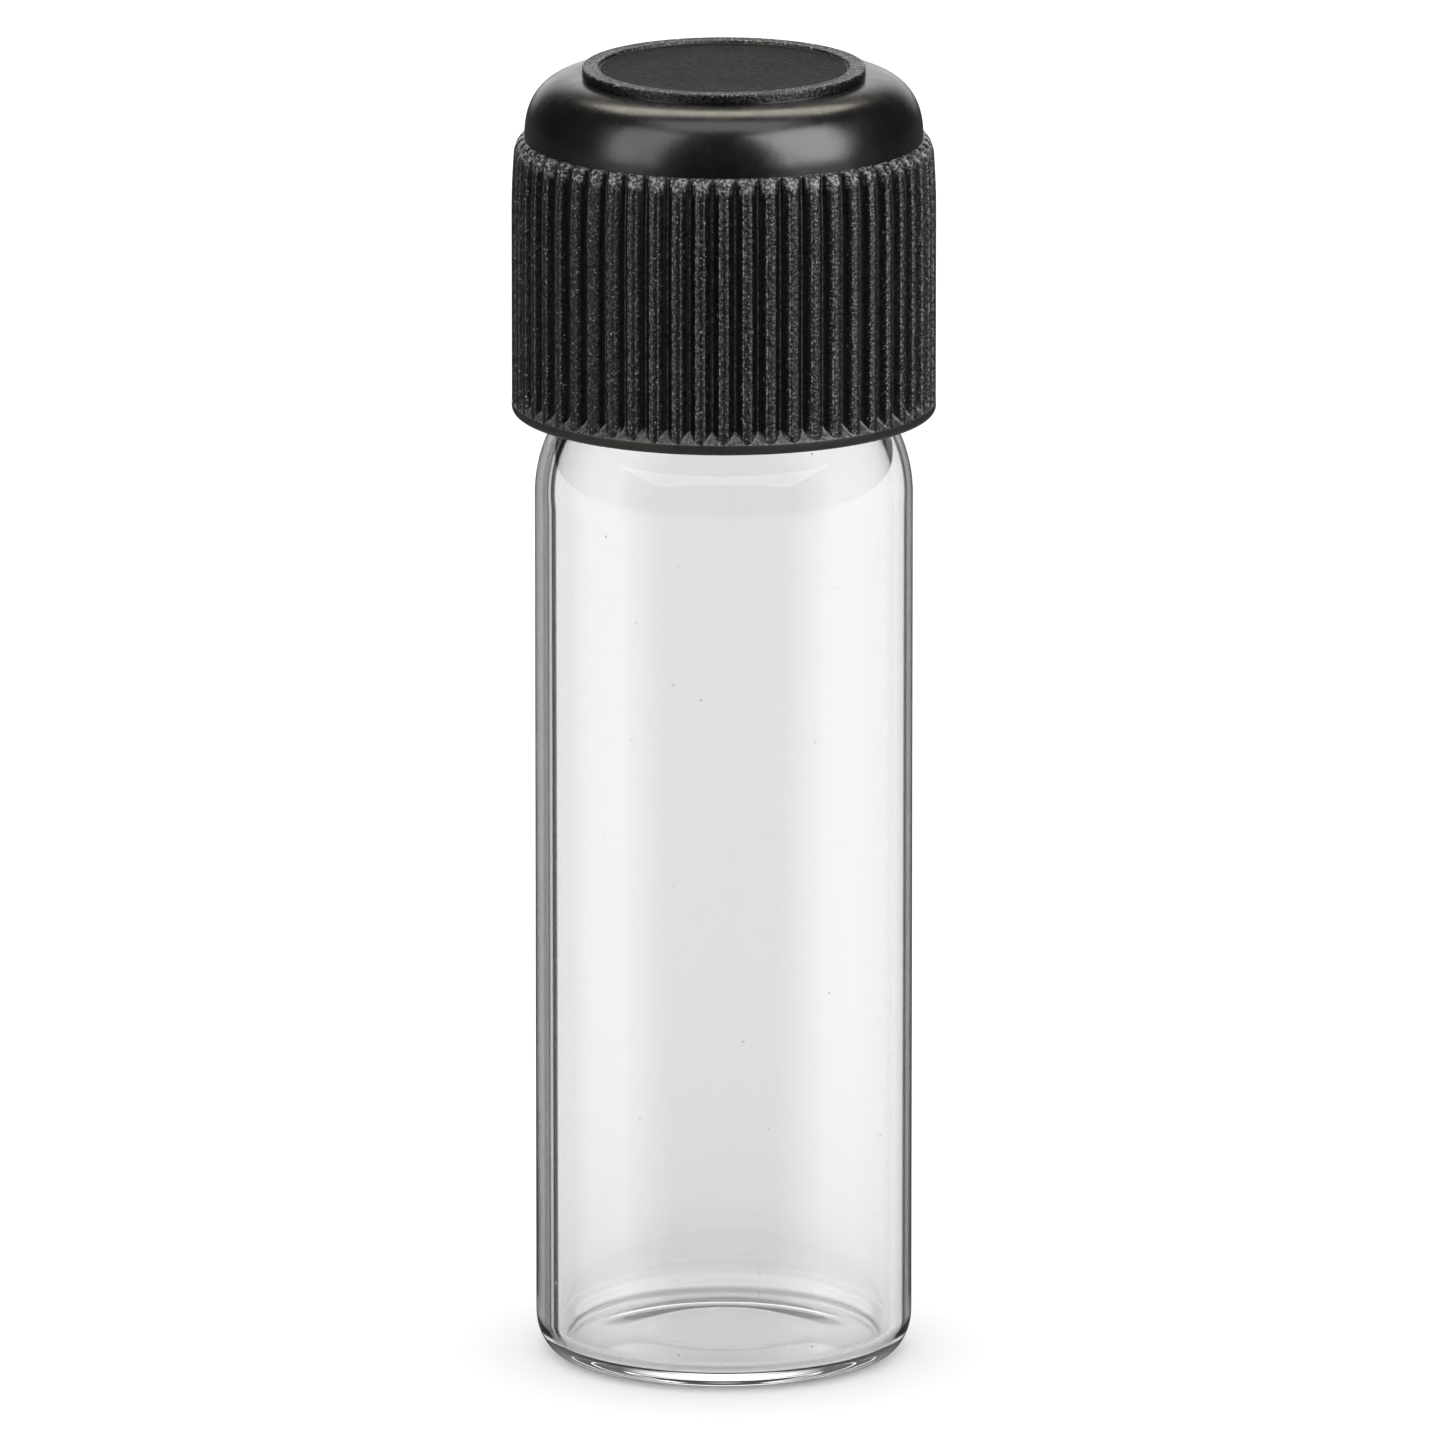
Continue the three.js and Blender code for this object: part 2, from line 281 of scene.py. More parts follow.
def turned(name, outline, angles, radius_at=None, zone_of=None):
    """A surface of revolution, with the outside on the right of the outline.

    It is closed if the outline starts and ends on the axis, or ends where it starts and is welded.
    radius_at(angle, radius, height) may move a point in or out, and zone_of(index) gives the
    material index of the faces that start at an outline point.
    """
    segments = len(angles)
    vertices = []
    rings = []
    for radius, height in outline:
        if radius == 0:
            rings.append([len(vertices)] * segments)
            vertices.append((0, 0, height))
            continue
        rings.append(range(len(vertices), len(vertices) + segments))
        for angle in angles:
            shifted = radius_at(angle, radius, height) if radius_at else radius
            vertices.append((shifted * math.cos(angle), shifted * math.sin(angle), height))
    faces = []
    zones = []
    for index in range(len(rings) - 1):
        lower, upper = rings[index], rings[index + 1]
        zone = zone_of(index) if zone_of else 0
        for segment in range(segments):
            following = (segment + 1) % segments
            corners = [lower[segment], lower[following], upper[following], upper[segment]]
            corners = list(dict.fromkeys(corners))
            if len(corners) > 2:
                faces.append(corners)
                zones.append(zone)
    mesh = bpy.data.meshes.new(name)
    mesh.from_pydata(vertices, [], faces)
    mesh.polygons.foreach_set("material_index", zones)
    mesh.shade_smooth()
    mesh.set_sharp_from_angle(angle=SHARP_ANGLE)
    piece = bpy.data.objects.new(name, mesh)
    bpy.context.scene.collection.objects.link(piece)
    return piece


def weld(piece):
    """Joins the first and last rings of an outline that closes on itself."""
    shape = bmesh.new()
    shape.from_mesh(piece.data)
    bmesh.ops.remove_doubles(shape, verts=shape.verts, dist=SAME_PLACE)
    shape.to_mesh(piece.data)
    shape.free()


def thread_reach(angle, height, bottom, centre_radius, sunk_radius, ridge, side):
    """How far from the axis a thread's ridge reaches here, or None away from it. side is 1 or -1."""
    for turn in range(math.ceil(THREAD_TURNS)):
        turns = angle / TURN + turn
        from_end = min(turns, THREAD_TURNS - turns)
        offset = height - bottom - turns * THREAD_PITCH
        if from_end <= 0 or abs(offset) >= ridge:
            continue
        risen = smoothstep(from_end / THREAD_RUN_OUT_TURNS)
        return lerp(sunk_radius, centre_radius, risen) + side * math.sqrt(ridge**2 - offset**2)
    return None


# ---------------------------------------------------------------- glass


def glass_radius_at(angle, radius, height):
    """The glass with its thread standing out of the neck."""
    if radius < NECK_RADIUS - SAME_PLACE or height < SHOULDER_TOP:
        return radius
    bottom = GLASS_THREAD_TOP - THREAD_TURNS * THREAD_PITCH
    centre = GLASS_THREAD_RADIUS - GLASS_RIDGE
    reach = thread_reach(angle, height, bottom, centre, NECK_RADIUS - GLASS_RIDGE, GLASS_RIDGE, 1)
    return max(radius, reach or 0)


def punt(radius):
    """How far the middle of the base is pushed up at a radius."""
    return PUNT_HEIGHT * smoothstep((PUNT_RADIUS - radius) / (PUNT_RADIUS - PUNT_TOP_RADIUS))


def base_radii():
    """Radii across the base, close together where the punt rises."""
    slope = [lerp(PUNT_TOP_RADIUS, PUNT_RADIUS, step / BASE_STEPS) for step in range(BASE_STEPS + 1)]
    return [0, PUNT_TOP_RADIUS / 2] + slope


def glass_outside():
    """Up the outside of the glass, from the middle of the base to the top of the lip."""
    outside = [(radius, punt(radius)) for radius in base_radii()]
    outside += arc((GLASS_RADIUS - HEEL_WIDTH, HEEL_HEIGHT), (HEEL_WIDTH, HEEL_HEIGHT), -90, 0, HEEL_STEPS)
    outside += shoulder((GLASS_RADIUS, SHOULDER_BOTTOM), (NECK_RADIUS, SHOULDER_TOP), SHOULDER_ARC)
    outside += upright(NECK_RADIUS, SHOULDER_TOP, LIP_BOTTOM, THREAD_ROW)
    outside += round_arc((NECK_RADIUS - LIP_RADIUS, LIP_BOTTOM), LIP_RADIUS, 0, 90, LIP_STEPS)
    return outside


def glass_inside():
    """Up the inside of the glass, from the middle of its floor to the top of the lip."""
    wall_radius = GLASS_RADIUS - GLASS_WALL
    heel_centre = (wall_radius - INNER_HEEL_RADIUS, BASE_THICKNESS + INNER_HEEL_RADIUS)
    inner_arc = SHOULDER_ARC - GLASS_WALL
    inside = [(radius, BASE_THICKNESS + INNER_PUNT_SHARE * punt(radius)) for radius in base_radii()]
    inside += round_arc(heel_centre, INNER_HEEL_RADIUS, -90, 0, INNER_HEEL_STEPS)
    inside += shoulder((wall_radius, SHOULDER_BOTTOM), (MOUTH_RADIUS, SHOULDER_TOP), inner_arc)
    inside += round_arc((MOUTH_RADIUS + LIP_RADIUS, LIP_BOTTOM), LIP_RADIUS, 180, 90, LIP_STEPS)
    return inside


def make_glass():
    """The vial as one closed surface: up the outside, over the rim and down the inside."""
    outside = glass_outside()
    outline = outside + glass_inside()[::-1]

    def zone_of(index):
        return 0 if index < len(outside) else 1

    glass = turned("clear_vial", outline, even_angles(GLASS_SEGMENTS), glass_radius_at, zone_of)
    for material in (outer_glass(), inner_glass()):
        glass.data.materials.append(material)
    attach(glass, "vial")
    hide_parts("glass_vial")


# ---------------------------------------------------------------- cap


def rib_drop(angle):
    """How far the ribbed skirt lies below its crests: rounded crests, straight flanks, narrow valleys."""
    across = abs((angle / TURN * RIB_COUNT + 0.5) % 1 - 0.5) * 2
    if across < RIB_CREST_SHARE:
        return RIB_CREST_ROUNDING * (across / RIB_CREST_SHARE) ** 2
    down = (across - RIB_CREST_SHARE) / (1 - RIB_VALLEY_SHARE - RIB_CREST_SHARE)
    return lerp(RIB_CREST_ROUNDING, RIB_DEPTH, min(down, 1))


def rib_taper(height):
    """How far the whole ribbed surface draws in towards the top."""
    start = SKIRT_TOP - RIB_TAPER_HEIGHT
    risen = (height - start) / (RIB_TAPER_HEIGHT - RIB_END_HEIGHT)
    return RIB_TAPER * clamped(risen) ** 2


def cap_radius_at(angle, radius, height):
    """The outside of the cap with its ribs, and the inside with its thread."""
    if radius > DOME_RADIUS and BAND_TOP < height < SKIRT_TOP:
        foot = CAP_RADIUS - RIB_DEPTH * (height - BAND_TOP) / RUN_OUT_HEIGHT
        rib = RIB_RADIUS - rib_taper(height) - rib_drop(angle)
        return min(radius, max(rib, foot))
    if abs(radius - BORE_RADIUS) < SAME_PLACE:
        bottom = GLASS_THREAD_TOP - (THREAD_TURNS + 0.5) * THREAD_PITCH
        centre = CAP_THREAD_RADIUS + CAP_RIDGE
        reach = thread_reach(angle, height, bottom, centre, BORE_RADIUS + CAP_RIDGE, CAP_RIDGE, -1)
        return min(radius, reach or radius)
    return radius


def band_outline():
    """The cap's bottom edge, and the plain band above it."""
    edge_centre = (CAP_RADIUS - EDGE_RADIUS, CAP_BOTTOM + EDGE_RADIUS)
    band = round_arc(edge_centre, EDGE_RADIUS, -90, 0, EDGE_STEPS)
    return band + upright(CAP_RADIUS, CAP_BOTTOM + EDGE_RADIUS, BAND_TOP, BAND_ROW)


def skirt_outline():
    """The ribbed skirt at its crests, up to where the ribs round over."""
    fine_top = BAND_TOP + RUN_OUT_HEIGHT + RUN_OUT_MARGIN
    skirt = [(CAP_RADIUS, BAND_TOP)]
    skirt += upright(RIB_RADIUS, BAND_TOP, fine_top, RUN_OUT_ROW)
    skirt += upright(RIB_RADIUS, fine_top, RIBS_END, RIB_ROW)
    end_width = RIB_RADIUS - RIB_TAPER - SKIRT_TOP_RADIUS
    skirt += square_arc(
        (SKIRT_TOP_RADIUS, RIBS_END), (end_width, RIB_END_HEIGHT), RIB_END_SQUARENESS, RIB_END_STEPS
    )
    return skirt


def dome_outline():
    """The dome, from the top of the skirt to the foot of the rim."""
    radii = (DOME_RADIUS - DISC_RADIUS, DOME_TOP - SKIRT_TOP)
    return square_arc((DISC_RADIUS, SKIRT_TOP), radii, DOME_SQUARENESS, DOME_STEPS)


def rim_outline():
    """The raised rim round the disc: a crisp outer edge, a nearly flat top and a rolled inner edge."""
    rim_inner = DISC_RADIUS - RIM_WIDTH
    rim = [(DISC_RADIUS, DOME_TOP + RIM_FOOT_HEIGHT)]
    rim += round_arc((DISC_RADIUS - RIM_EDGE, CAP_TOP - RIM_EDGE), RIM_EDGE, 0, 90, SMALL_EDGE_STEPS)
    rim += [(DISC_RADIUS - RIM_FLAT_WIDTH, CAP_TOP - RIM_FLAT_DROP)]
    roll_centre = (rim_inner + RIM_ROLL_WIDTH, CAP_TOP - RIM_ROLL_HEIGHT)
    rim += arc(roll_centre, (RIM_ROLL_WIDTH, RIM_ROLL_HEIGHT), 70, 180, EDGE_STEPS)
    rim += [(rim_inner - FILLET_MIDDLE_WIDTH, CAP_TOP - DISC_DISH + FILLET_MIDDLE_HEIGHT)]
    return rim


def disc_outline():
    """The dished disc, from its rim to the axis."""
    dish = CAP_TOP - DISC_DISH
    rim_inner = DISC_RADIUS - RIM_WIDTH
    return [(rim_inner - DISC_FILLET, dish), (rim_inner / 2, dish), (0, dish)]


def bore_outline():
    """Down the inside of the cap, from the axis to the bottom edge."""
    top = LINER_SEAT - BORE_CHAMFER
    bore = [(0, LINER_SEAT), (BORE_RADIUS - BORE_CHAMFER, LINER_SEAT), (BORE_RADIUS, top)]
    bore += upright(BORE_RADIUS, BORE_MOUTH_TOP, top, 2 * THREAD_ROW)[::-1]
    bore += [(BORE_RADIUS, BORE_MOUTH_TOP), (BORE_MOUTH_RADIUS, CAP_BOTTOM + BORE_MOUTH_EDGE)]
    bore += [(BORE_MOUTH_RADIUS + BORE_MOUTH_EDGE, CAP_BOTTOM)]
    return bore


def make_cap():
    """The cap as one closed surface: up the skirt, over the dome and disc, and down the bore."""
    stretches = (
        (band_outline(), 0),
        (skirt_outline(), 1),
        (dome_outline(), 2),
        (rim_outline(), 3),
        (disc_outline(), 4),
        (bore_outline(), 0),
    )
    outline = [point for stretch, zone in stretches for point in stretch]
    zones = [zone for stretch, zone in stretches for point in stretch]
    pitch = TURN / RIB_COUNT
    angles = [(rib + step / 2) * pitch for rib in range(RIB_COUNT) for step in RIB_STEPS]
    closed = outline + outline[:1]
    cap = turned("ribbed_cap", closed, angles, cap_radius_at, lambda index: zones[index])
    weld(cap)
    for material in (band_material(), skirt_material(), dome_material(), rim_material(), disc_material()):
        cap.data.materials.append(material)
    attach(cap, "cap")
    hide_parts("screw_cap")
    return cap


# ---------------------------------------------------------------- liner


def make_liner_layer(name, node, material, edge):
    """One disc of the liner, with its rim eased over."""
    low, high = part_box(node)
    outline = [(0, low.z)]
    outline += round_arc((high.x - edge, low.z + edge), edge, -90, 0, LINER_EDGE_STEPS)
    outline += round_arc((high.x - edge, high.z - edge), edge, 0, 90, LINER_EDGE_STEPS)
    outline += [(0, high.z)]
    layer = turned(name, outline, even_angles(LINER_SEGMENTS))
    layer.data.materials.append(material)
    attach(layer, "liner")
    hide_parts(node)


# ---------------------------------------------------------------- materials


class Nodes:
    """A node tree, with short ways to add nodes to it."""

    def __init__(self, tree):
        self.tree = tree

    def add(self, kind, **values):
        node = self.tree.nodes.new(kind)
        for key, value in values.items():
            setattr(node, key, value)
        return node

    def link(self, output, target):
        self.tree.links.new(output, target)

    def fill(self, socket, value):
        """Gives a socket a plain value or a link."""
        if isinstance(value, bpy.types.NodeSocket):
            self.link(value, socket)
        else:
            socket.default_value = value

    def parts(self, vector):
        """The X, Y and Z of a vector."""
        node = self.add("ShaderNodeSeparateXYZ")
        self.link(vector, node.inputs[0])
        return node.outputs

    def math(self, operation, *values):
        """One sum. Each value is a plain number or a link."""
        node = self.add("ShaderNodeMath", operation=operation)
        for socket, value in zip(node.inputs, values):
            self.fill(socket, value)
        return node.outputs[0]

    def ramp(self, factor, stops):
        """Colours blended along a factor: stops are (position, grey or colour)."""
        node = self.add("ShaderNodeValToRGB")
        elements = node.color_ramp.elements
        while len(elements) < len(stops):
            elements.new(0.5)
        for element, (position, colour) in zip(elements, stops):
            element.position = position
            rgb = (colour, colour, colour) if isinstance(colour, (int, float)) else colour
            element.color = (*rgb, 1)
        self.link(factor, node.inputs["Fac"])
        return node.outputs["Color"]

    def mixed(self, factor, first, second):
        """One colour turning into another along a factor. Each is a plain colour or a link."""
        node = self.add("ShaderNodeMix", data_type="RGBA")
        self.link(factor, node.inputs["Factor"])
        for name, colour in (("A", first), ("B", second)):
            self.fill(node.inputs[name], (*colour, 1) if isinstance(colour, tuple) else colour)
        return node.outputs["Result"]

    def span(self, factor, low, high, from_low=0.3, from_high=0.7):
        """A factor stretched to run from one value to another."""
        node = self.add("ShaderNodeMapRange")
        node.inputs["From Min"].default_value = from_low
        node.inputs["From Max"].default_value = from_high
        node.inputs["To Min"].default_value = low
        node.inputs["To Max"].default_value = high
        self.link(factor, node.inputs["Value"])
        return node.outputs["Result"]


class Shader(Nodes):
    """A material's nodes, with the patterns that its surface is made from."""

    def __init__(self, name):
        self.material = bpy.data.materials.new(name)
        self.material.use_nodes = True
        super().__init__(self.material.node_tree)
        self.surface = self.tree.nodes["Principled BSDF"]

    def set(self, name, value):
        """A plain value on the surface, or a link to it."""
        self.fill(self.surface.inputs[name], value)

    def place(self):
        """The point on the piece, in metres."""
        return self.add("ShaderNodeTexCoord").outputs["Object"]

    def from_axis(self, parts):
        """How far a point is from the Z axis."""
        squares = [self.math("MULTIPLY", parts[name], parts[name]) for name in ("X", "Y")]
        return self.math("SQRT", self.math("ADD", *squares))

    def noise(self, grain, detail=2):
        """Noise whose lumps are about one grain across."""
        node = self.add("ShaderNodeTexNoise")
        node.inputs["Scale"].default_value = 1 / grain
        node.inputs["Detail"].default_value = detail
        self.link(self.place(), node.inputs["Vector"])
        return node.outputs["Fac"]

    def patches(self, grain, dark, light):
        """Two colours in patches about one grain across."""
        return self.ramp(self.noise(grain, 4), [(0.3, dark), (0.7, light)])

    def bump(self, height, distance):
        """Bumps this deep where the height runs from 0 to 1."""
        node = self.add("ShaderNodeBump")
        node.inputs["Distance"].default_value = distance
        self.link(height, node.inputs["Height"])
        return node.outputs["Normal"]


def plastic_shader(name, gloss):
    """A shader with the shine of moulded plastic."""
    shader = Shader(name)
    shader.set("IOR", PLASTIC_IOR)
    shader.set("Specular IOR Level", gloss)
    return shader


def moulded(name, dark, light, grain, depth, roughness, gloss=0.5):
    """Black moulded plastic with a grain, patchy colour and patchy gloss."""
    shader = plastic_shader(name, gloss)
    shader.set("Base Color", shader.patches(COLOUR_PATCH, dark, light))
    shader.set("Roughness", shader.span(shader.noise(grain * 2, 3), *roughness))
    shader.set("Normal", shader.bump(shader.noise(grain), depth))
    return shader.material


def band_material():
    """The plain band at the bottom of the cap, a little warmer and duller than the rest."""
    dark = (0.018, 0.017, 0.015)
    light = (0.026, 0.024, 0.021)
    return moulded(
        "cap_band", dark, light, grain=0.2 * MM, depth=0.01 * MM, roughness=(0.4, 0.55), gloss=0.1
    )


def dome_material():
    """The polished dome."""
    dark = (0.0015, 0.0015, 0.0015)
    light = (0.003, 0.003, 0.003)
    return moulded("cap_dome", dark, light, grain=0.5 * MM, depth=0.004 * MM, roughness=(0.24, 0.3))


def disc_material():
    """The matt, grainy disc in the middle of the top."""
    dark = (0.003, 0.0028, 0.0026)
    light = (0.008, 0.0077, 0.0074)
    return moulded(
        "cap_disc", dark, light, grain=0.14 * MM, depth=0.03 * MM, roughness=(0.5, 0.62), gloss=0.04
    )


def painted_highlights(shader, parts):
    """How much painted highlight each place gets: patchy lines along the ribs' edges, and the lit tips of
    the ribs.
    """
    # The place across a rib: 0 and 1 are the middle of the crest, and a half is the valley.
    angle = shader.math("ARCTAN2", parts["Y"], parts["X"])
    across = shader.math("FRACT", shader.math("MULTIPLY", angle, RIB_COUNT / TURN))
    # Painted highlight: the tops of the ribs are painted lit.
    tip = shader.span(parts["Z"], 0, 0.9, RIBS_END - 0.1 * MM, RIBS_END + 0.3 * MM)
    painted_lit_tips = shader.math("MULTIPLY", tip, shader.ramp(across, PAINTED_LIT_TIPS))
    patchy = shader.span(shader.noise(0.13 * MM, 1), 0.05, 1, 0.48, 0.62)
    return shader.math("MULTIPLY", shader.math("MAXIMUM", shader.ramp(across, PAINTED_HIGHLIGHT_LINES), painted_lit_tips), patchy)


def painted_lit_feet(shader, radius, z):
    """1 on the sloping facets where the valleys run out at the band, patchy, and 0 elsewhere: where light
    is painted on these up-facing facets.
    """
    steepness = RIB_DEPTH / RUN_OUT_HEIGHT
    foot = shader.math("MULTIPLY_ADD", z, -steepness, CAP_RADIUS + steepness * BAND_TOP)
    off_foot = shader.math("ABSOLUTE", shader.math("SUBTRACT", radius, foot))
    on_foot = shader.span(off_foot, 1, 0, 0.01 * MM, 0.03 * MM)
    return shader.math("MULTIPLY", on_foot, shader.span(shader.noise(0.18 * MM), 0.2, 1, 0.35, 0.65))


def skirt_material():
    """The ribbed skirt: grainy crests with painted glints, painted highlight lines along the ribs' edges
    and painted light on the facets at their feet.
    """
    shader = plastic_shader("cap_skirt", 0.35)
    parts = shader.parts(shader.place())
    radius = shader.from_axis(parts)
    crest = shader.span(radius, 0, 1, CAP_RADIUS - 0.3 * MM, CAP_RADIUS - 0.12 * MM)
    # Painted highlight: pale specks on the crests stand in for glints of light off the grain.
    glint_and_dust_specks = shader.math("MULTIPLY", crest, shader.span(shader.noise(0.11 * MM, 1), 0, 1, 0.66, 0.74))
    colour = shader.patches(COLOUR_PATCH, SKIRT_DARK, SKIRT_LIGHT)
    # Painted light on the facets at the ribs' feet.
    colour = shader.mixed(painted_lit_feet(shader, radius, parts["Z"]), colour, PAINTED_LIT_FOOT_COLOUR)
    # Painted highlight: pale lines along the ribs' edges and on their tips.
    colour = shader.mixed(painted_highlights(shader, parts), colour, PAINTED_HIGHLIGHT_COLOUR)
    shader.set("Base Color", shader.mixed(glint_and_dust_specks, colour, PAINTED_GLINT_COLOUR))
    shader.set("Roughness", shader.span(shader.noise(0.2 * MM, 3), 0.26, 0.42))
    grain = shader.math("MULTIPLY", shader.noise(0.16 * MM), crest)
    shader.set("Normal", shader.bump(grain, 0.05 * MM))
    return shader.material


def rim_material():
    """The step around the disc, with painted glints on its top edge: bright specks that stand in for a
    highlight there.
    """
    shader = plastic_shader("cap_rim", 0.3)
    z = shader.parts(shader.place())["Z"]
    top = shader.span(z, 0, 1, CAP_TOP - 0.12 * MM, CAP_TOP - 0.06 * MM)
    # Painted highlight: glints along the rim's top edge.
    glint_and_dust_specks = shader.math("MULTIPLY", top, shader.span(shader.noise(0.13 * MM), 0, 1, 0.56, 0.66))
    shader.set("Base Color", shader.mixed(glint_and_dust_specks, SKIRT_DARK, PAINTED_GLINT_COLOUR))
    shader.set("Roughness", shader.span(shader.noise(0.2 * MM, 3), 0.3, 0.5))
    shader.set("Normal", shader.bump(shader.noise(0.15 * MM), 0.05 * MM))
    return shader.material


def glass_shader(name):
    """Clear, fire-polished glass, slightly wavy."""
    shader = Shader(name)
    shader.set("Roughness", 0.0)
    shader.set("IOR", GLASS_IOR)
    shader.set("Transmission Weight", 1.0)
    shader.set("Normal", shader.bump(shader.noise(WAVE_LENGTH, 1), WAVE_DEPTH))
    return shader


def dust(shader):
    """1 on scattered round specks, and 0 between them."""
    glint_and_dust_specks = shader.add("ShaderNodeTexVoronoi")
    glint_and_dust_specks.inputs["Scale"].default_value = 1 / DUST_SPACING
    shader.link(shader.place(), glint_and_dust_specks.inputs["Vector"])
    speck_edge = DUST_RADIUS / DUST_SPACING
    return shader.span(glint_and_dust_specks.outputs["Distance"], 1, 0, speck_edge / 2, speck_edge)


def outer_glass():
    """The outside of the wall: clear, a little dusty, with painted shade in dark lines where it is seen
    edge on.
    """
    shader = glass_shader("glass_outside")
    facing = shader.add("ShaderNodeLayerWeight").outputs["Facing"]
    place = shader.parts(shader.place())
    from_left = shader.span(place["X"], 0, 1, -1 * MM, 1 * MM)
    # Painted shade: the ramps darken the glass in lines where it is seen edge on, differently on the left
    # and right.
    tint_and_painted_shade = shader.mixed(from_left, shader.ramp(facing, LEFT_PAINTED_EDGE_SHADE), shader.ramp(facing, RIGHT_PAINTED_EDGE_SHADE))
    # Painted light: near the base the glass is clearer and has no painted edge lines.
    tint_and_painted_shade = shader.mixed(shader.span(place["Z"], 0, 1, 0.7 * MM, 1.5 * MM), CLEAR_BASE_PAINTED_LIGHT, tint_and_painted_shade)
    shader.set("Base Color", shader.mixed(dust(shader), tint_and_painted_shade, DUST_COLOUR))
    return shader.material


def inner_glass():
    """The inside of the wall, painted clearer towards the base to lighten the shade there."""
    shader = glass_shader("glass_inside")
    height = shader.span(shader.parts(shader.place())["Z"], 0, 1, 0.9 * MM, 1.7 * MM)
    shader.set("Base Color", shader.mixed(height, CLEAR_BASE_PAINTED_LIGHT, CLEAR_WALL))
    return shader.material


def liner_material(name, dark, light, grain, depth, roughness):
    """A pale sheet material with a grain, patchy colour and patchy gloss."""
    shader = Shader(name)
    shader.set("Base Color", shader.patches(grain * 4, dark, light))
    shader.set("Roughness", shader.span(shader.noise(grain), roughness - 0.08, roughness + 0.08))
    shader.set("Normal", shader.bump(shader.noise(grain, 3), depth))
    return shader.material


def pulp_material():
    """Pressed pulp board."""
    dark = (0.5, 0.45, 0.37)
    light = (0.62, 0.57, 0.48)
    return liner_material("pulp_board", dark, light, grain=0.15 * MM, depth=0.02 * MM, roughness=0.85)


def film_material():
    """Smooth sealing film."""
    dark = (0.78, 0.77, 0.73)
    light = (0.84, 0.83, 0.8)
    return liner_material("sealing_film", dark, light, grain=0.4 * MM, depth=0.004 * MM, roughness=0.35)


# ---------------------------------------------------------------- studio


def make_floor():
    """A plain pale floor that glows faintly, with a painted pool of light under the vial for the light that
    its glass would gather there.
    """
    bpy.ops.mesh.primitive_plane_add(size=FLOOR_SIZE)
    floor = bpy.context.object
    floor.name = "studio_floor"
    shader = Shader("pale_floor")
    shader.set("Base Color", (*FLOOR_GREY, 1))
    shader.set("Emission Color", (*WHITE, 1))
    radius = shader.from_axis(shader.parts(shader.place()))
    # Painted light: the glow rises under the vial.
    glow_with_painted_pool = shader.span(radius, PAINTED_LIGHT_UNDER_VIAL, FLOOR_GLOW, 5 * MM, 8 * MM)
    shader.set("Emission Strength", glow_with_painted_pool)
    shader.set("Roughness", 0.9)
    shader.set("Specular IOR Level", 0.0)
    floor.data.materials.append(shader.material)
    floor.location.z = -FLOOR_GAP
    floor.visible_glossy = False


def make_light(name, azimuth, elevation, width, height, radiance, colour=WHITE, distance=2.4):
    """A soft light that faces the vial. Azimuth 0 is the camera's side, and 90 is its right."""
    across = math.radians(azimuth)
    up = math.radians(elevation)
    direction = Vector((math.sin(across) * math.cos(up), -math.cos(across) * math.cos(up), math.sin(up)))
    light = bpy.data.lights.new(name, "AREA")
    light.shape = "RECTANGLE"
    light.size = width
    light.size_y = height
    light.energy = radiance * math.pi * width * height
    light.color = colour
    lamp = bpy.data.objects.new(name, light)
    lamp.location = direction * distance + Vector((0, 0, RIM_HEIGHT))
    lamp.rotation_euler = direction.to_track_quat("Z", "Y").to_euler()
    bpy.context.scene.collection.objects.link(lamp)
    return lamp


def make_lights():
    """A wide light overhead, and softboxes that only the cap's gloss sees. Returns what they light."""
    overhead = make_light(
        "overhead", azimuth=180, elevation=88, width=7.0, height=7.0, radiance=2.1, distance=1.7
    )
    overhead.visible_glossy = False
    cap_only = bpy.data.collections.new("lit_by_softboxes")
    softboxes = (
        make_light("key_right", azimuth=54, elevation=27, width=2.0, height=2.8, radiance=7.6),
        make_light("fill_left", azimuth=-54, elevation=26, width=1.5, height=2.8, radiance=3.8),
        make_light("front_top", azimuth=0, elevation=82, width=2.2, height=1.3, radiance=2.6),
        make_light(
            "back_strip", azimuth=180, elevation=54, width=2.0, height=0.9, radiance=5.4, colour=WARM_WHITE
        ),
    )
    for softbox in softboxes:
        softbox.visible_diffuse = False
        softbox.light_linking.receiver_collection = cap_only
    return cap_only


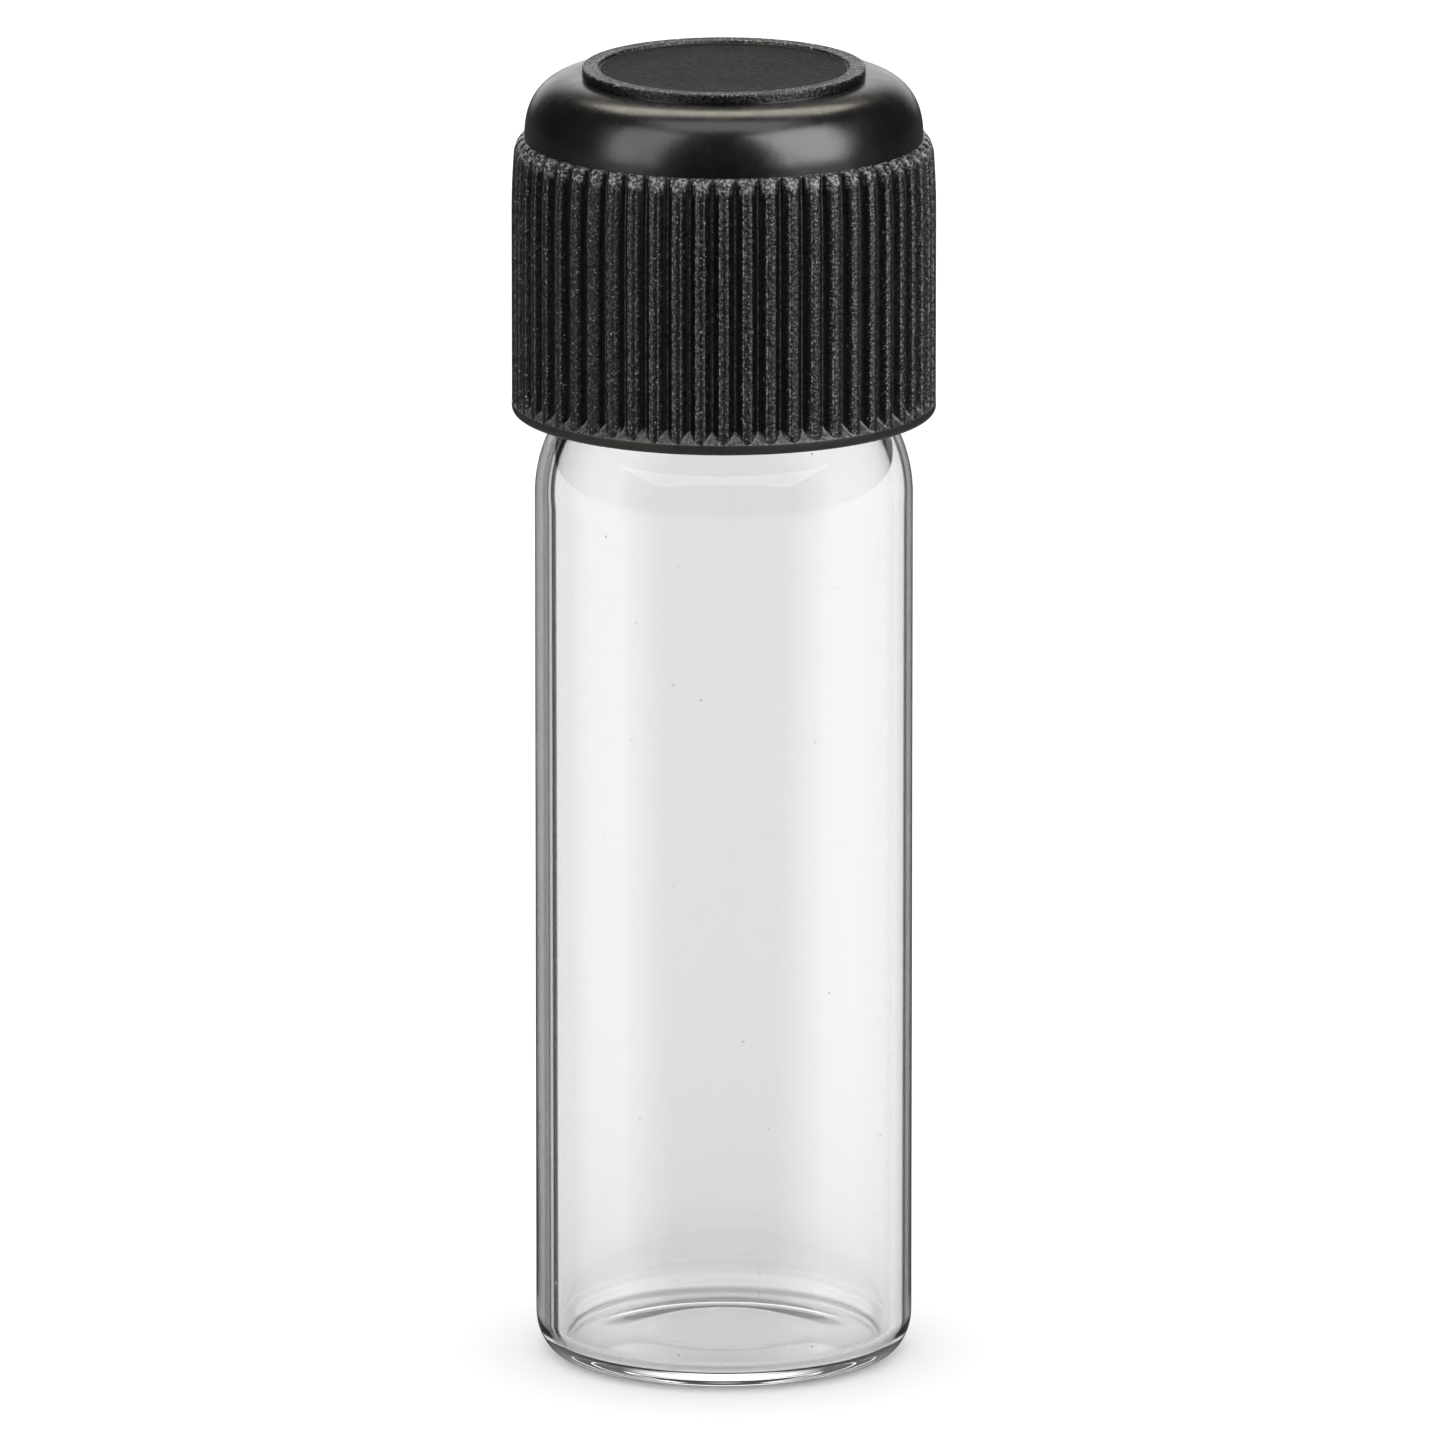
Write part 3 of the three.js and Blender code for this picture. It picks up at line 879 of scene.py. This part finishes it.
def make_world():
    """A dim room with a bright back wall. Below the horizon it is bright to the sides and straight down."""
    world = bpy.data.worlds.new("studio_world")
    bpy.context.scene.world = world
    world.use_nodes = True
    world.cycles.sampling_method = "NONE"
    nodes = Nodes(world.node_tree)
    direction = nodes.parts(nodes.add("ShaderNodeTexCoord").outputs["Generated"])

    def greys(part, stops):
        """Greys along one part of the direction: stops are (value of that part, grey)."""
        placed = [((value + 1) / 2, grey) for value, grey in stops]
        return nodes.ramp(nodes.span(direction[part], 0, 1, -1, 1), placed)

    sides = greys("Y", [(-0.85, 0.03), (-0.6, 0.35), (-0.4, 0.5), (-0.1, 0.35), (0.25, 0.1)])
    wall = greys("Y", [(-1, 0.03), (0.88, 0.05), (0.96, 1.4), (1, 1.6)])
    roof = greys("Y", [(0, 0.03), (1, 0.05)])
    straight_down = greys("Z", [(-0.6, 1), (-0.35, 0)])
    above_horizon = greys("Z", [(-0.08, 0), (0.02, 1)])
    above_wall = greys("Z", [(0.4, 0), (0.5, 1)])
    below = nodes.mixed(straight_down, sides, WHITE)
    colour = nodes.mixed(above_horizon, below, nodes.mixed(above_wall, wall, roof))
    nodes.link(colour, nodes.tree.nodes["Background"].inputs["Color"])


def make_camera():
    """A camera in front of the vial, looking a little down at its middle."""
    back = Vector((0, -math.cos(CAMERA_ELEVATION), math.sin(CAMERA_ELEVATION)))
    data = bpy.data.cameras.new("camera")
    data.lens = CAMERA_LENS
    data.sensor_width = CAMERA_SENSOR
    data.clip_start = 0.01
    data.clip_end = 20
    camera = bpy.data.objects.new("camera", data)
    camera.location = CAMERA_TARGET + back * CAMERA_DISTANCE
    camera.rotation_euler = back.to_track_quat("Z", "Y").to_euler()
    bpy.context.scene.collection.objects.link(camera)
    bpy.context.scene.camera = camera


make_camera()
make_floor()
make_world()
cap_only = make_lights()
make_glass()
cap_only.objects.link(make_cap())
make_liner_layer("liner_pulp_disc", "liner_backing", pulp_material(), edge=0.08 * MM)
make_liner_layer("liner_film_disc", "liner_facing", film_material(), edge=0.05 * MM)
bpy.context.scene.view_settings.view_transform = "Standard"
